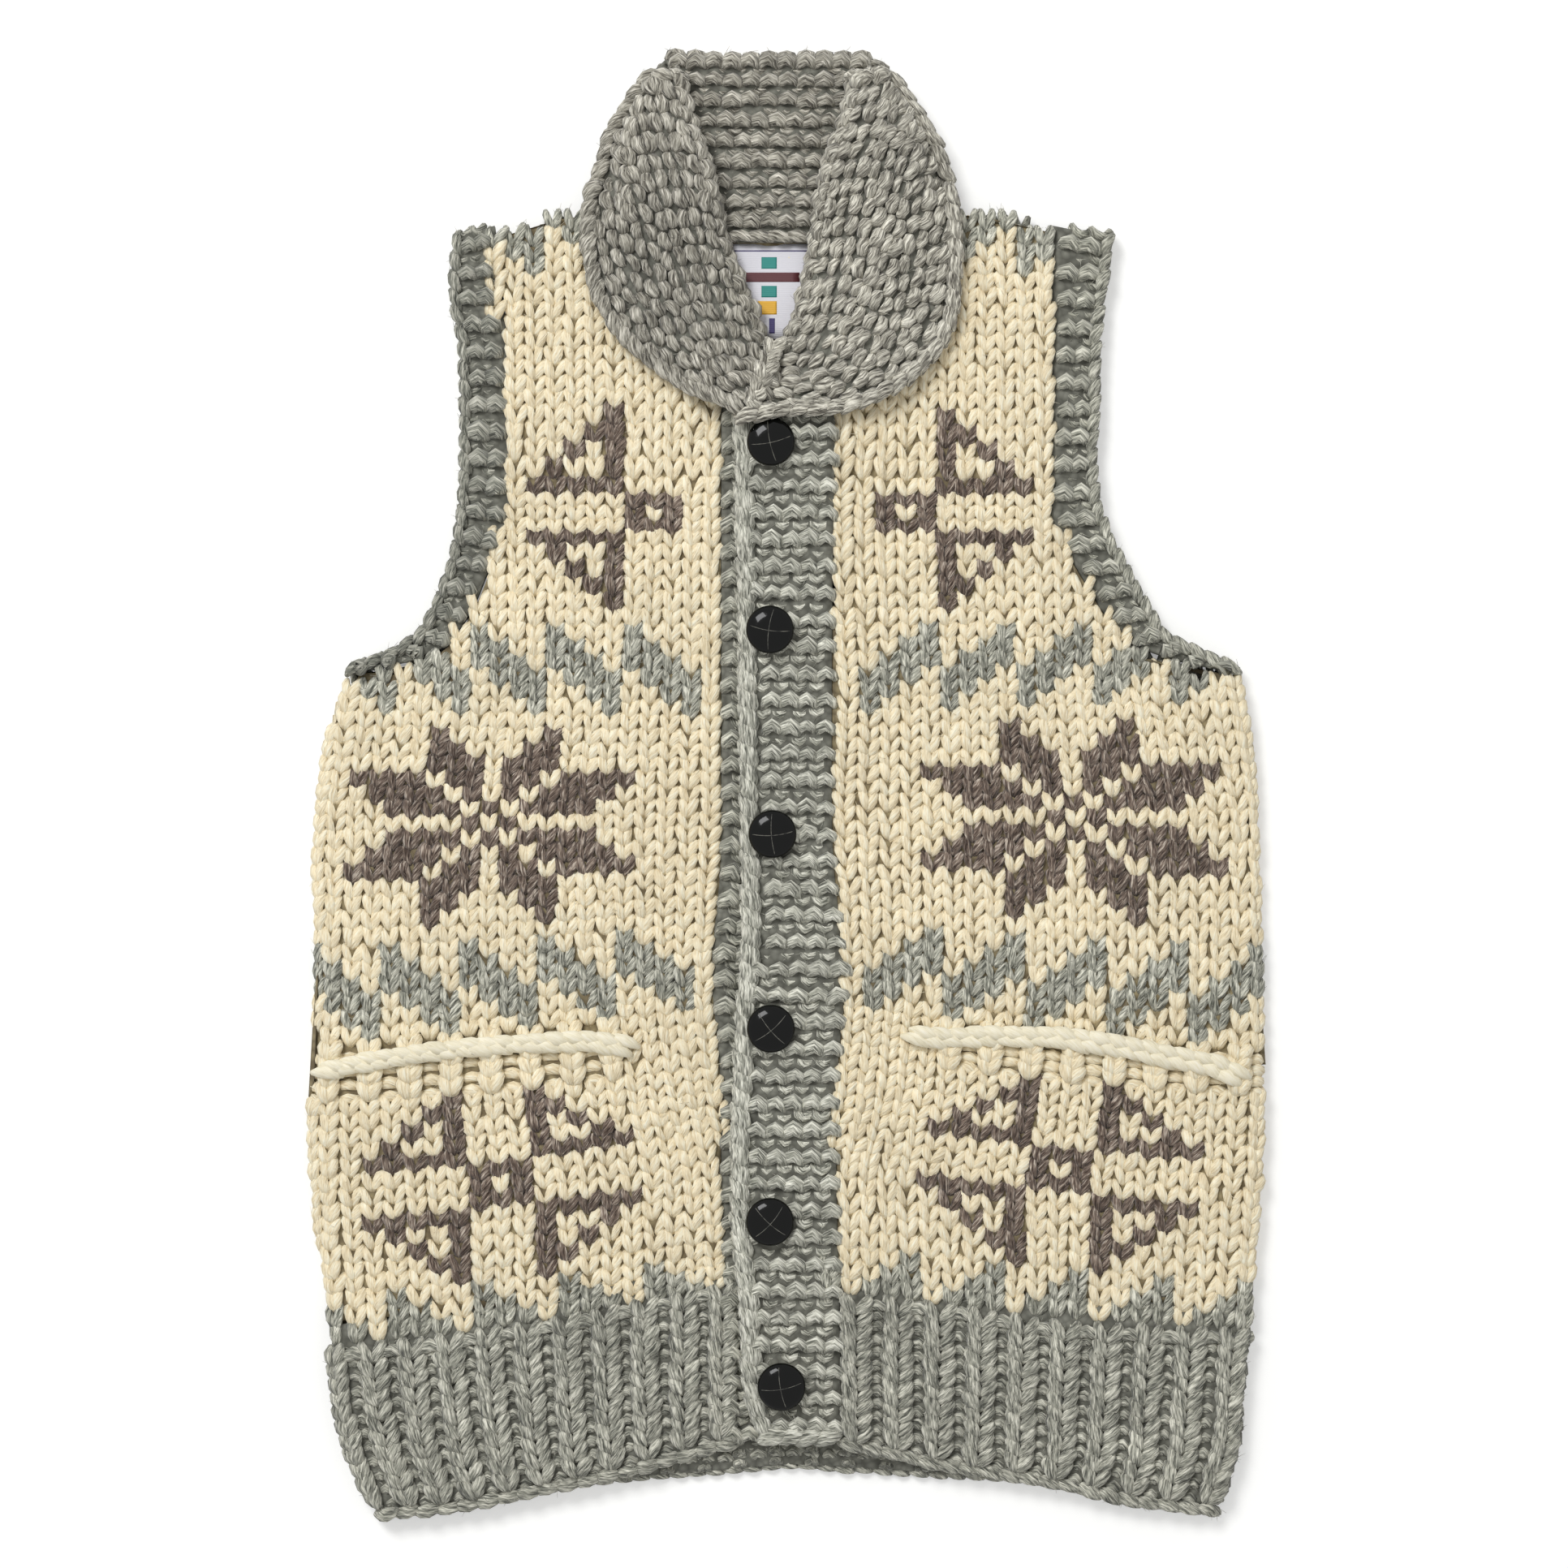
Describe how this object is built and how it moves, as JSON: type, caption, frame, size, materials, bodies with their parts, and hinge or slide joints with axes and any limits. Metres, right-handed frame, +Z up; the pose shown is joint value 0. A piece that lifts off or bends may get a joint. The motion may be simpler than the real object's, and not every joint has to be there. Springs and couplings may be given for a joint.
{
  "type": "cowichan vest",
  "caption": "Chunky hand-knit wool vest with a folded shawl collar, ribbed hem, inset pockets and a buttoned front, laid flat on its back.",
  "frame": {"origin": "centre of the bounding box on the surface the vest lies on", "axes": "+Z up through the layers from the back to the front, +Y from the hem to the neck, +X towards the wearer's left"},
  "size_m": [0.503, 0.768, 0.0319],
  "materials": {
    "cream_wool": "matte hand-spun cream wool, stocking stitch with grey and brown colourwork",
    "grey_wool": "matte heathered grey hand-spun wool, rib and garter stitch",
    "brown_wool": "matte heathered brown hand-spun wool in the colourwork",
    "black_button": "glossy black leather-look domed button with crossed grooves",
    "woven_label": "flat woven white label with plain coloured bands"
  },
  "bodies": {
    "root": {"back_panel": "cream_wool", "back_hem_rib": "grey_wool", "front_right_panel": "cream_wool", "front_left_panel": "cream_wool", "front_right_hem_rib": "grey_wool", "front_left_hem_rib": "grey_wool", "button_band_lower": "grey_wool", "button_band_upper": "grey_wool", "armhole_band_right_front": "grey_wool", "armhole_band_right_back": "grey_wool", "armhole_band_left_front": "grey_wool", "armhole_band_left_back": "grey_wool", "collar_back": "grey_wool", "collar_right": "grey_wool", "collar_left": "grey_wool", "pocket_edge_right": "cream_wool", "pocket_edge_left": "cream_wool", "neck_label": "woven_label", "button_1": "black_button", "button_2": "black_button", "button_3": "black_button", "button_4": "black_button", "button_5": "black_button", "button_6": "black_button"}
  },
  "joints": []
}
